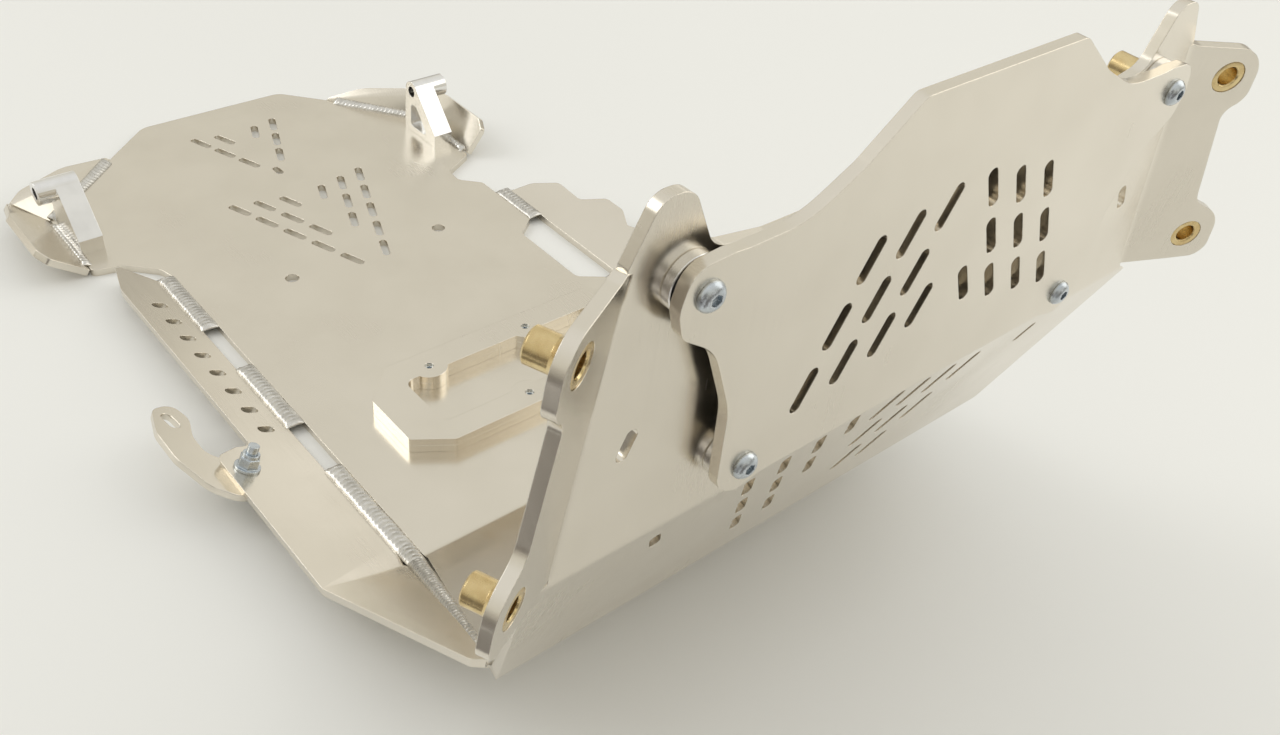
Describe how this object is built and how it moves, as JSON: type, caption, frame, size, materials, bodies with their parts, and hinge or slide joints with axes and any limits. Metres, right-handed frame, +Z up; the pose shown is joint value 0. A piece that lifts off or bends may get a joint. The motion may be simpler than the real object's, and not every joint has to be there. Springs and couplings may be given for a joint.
{
  "type": "motorcycle skid plate",
  "caption": "Folded aluminium engine skid plate with a flat vented floor, welded side wings, a raised front with bushed ears and a bolted guard plate",
  "frame": {"origin": "point on the underside of the flat floor, on the centreline of its vents, 334 mm ahead of the rear edge", "axes": "+X to the right side of the motorcycle, +Y to its rear, +Z up; the front panel faces -Y"},
  "size_m": [0.419, 0.6759, 0.3224],
  "materials": {
    "sheet_aluminium": "satin rolled sheet",
    "machined_aluminium": "machined",
    "weld_aluminium": "as welded",
    "gold_plated": "yellow passivated",
    "zinc_steel": "blue zinc plated",
    "black_rubber": "matt"
  },
  "bodies": {
    "root": {"bracket_arm": "sheet_aluminium", "bracket_bolt": "zinc_steel", "bracket_nut": "zinc_steel", "bushing_lower_left": "gold_plated", "bushing_lower_right": "gold_plated", "bushing_upper_left": "gold_plated", "bushing_upper_right": "gold_plated", "ear_left": "sheet_aluminium", "ear_right": "sheet_aluminium", "front_guard": "sheet_aluminium", "guard_insert_lower_left": "gold_plated", "guard_insert_lower_right": "gold_plated", "guard_insert_upper_left": "gold_plated", "guard_insert_upper_right": "gold_plated", "guard_screw_lower_left": "zinc_steel", "guard_screw_lower_right": "zinc_steel", "guard_screw_upper_left": "zinc_steel", "guard_screw_upper_right": "zinc_steel", "guard_spacer_lower_left": "machined_aluminium", "guard_spacer_lower_right": "machined_aluminium", "guard_spacer_upper_left": "machined_aluminium", "guard_spacer_upper_right": "machined_aluminium", "guard_washer_lower_left": "black_rubber", "guard_washer_lower_right": "black_rubber", "guard_washer_upper_left": "black_rubber", "guard_washer_upper_right": "black_rubber", "main_plate": "sheet_aluminium", "mount_block_left": "machined_aluminium", "mount_block_right": "machined_aluminium", "pad_lower": "sheet_aluminium", "pad_screws": "zinc_steel", "pad_upper": "sheet_aluminium", "weld_left": "weld_aluminium", "weld_right": "weld_aluminium", "wing_left": "sheet_aluminium", "wing_right": "sheet_aluminium"}
  },
  "joints": []
}
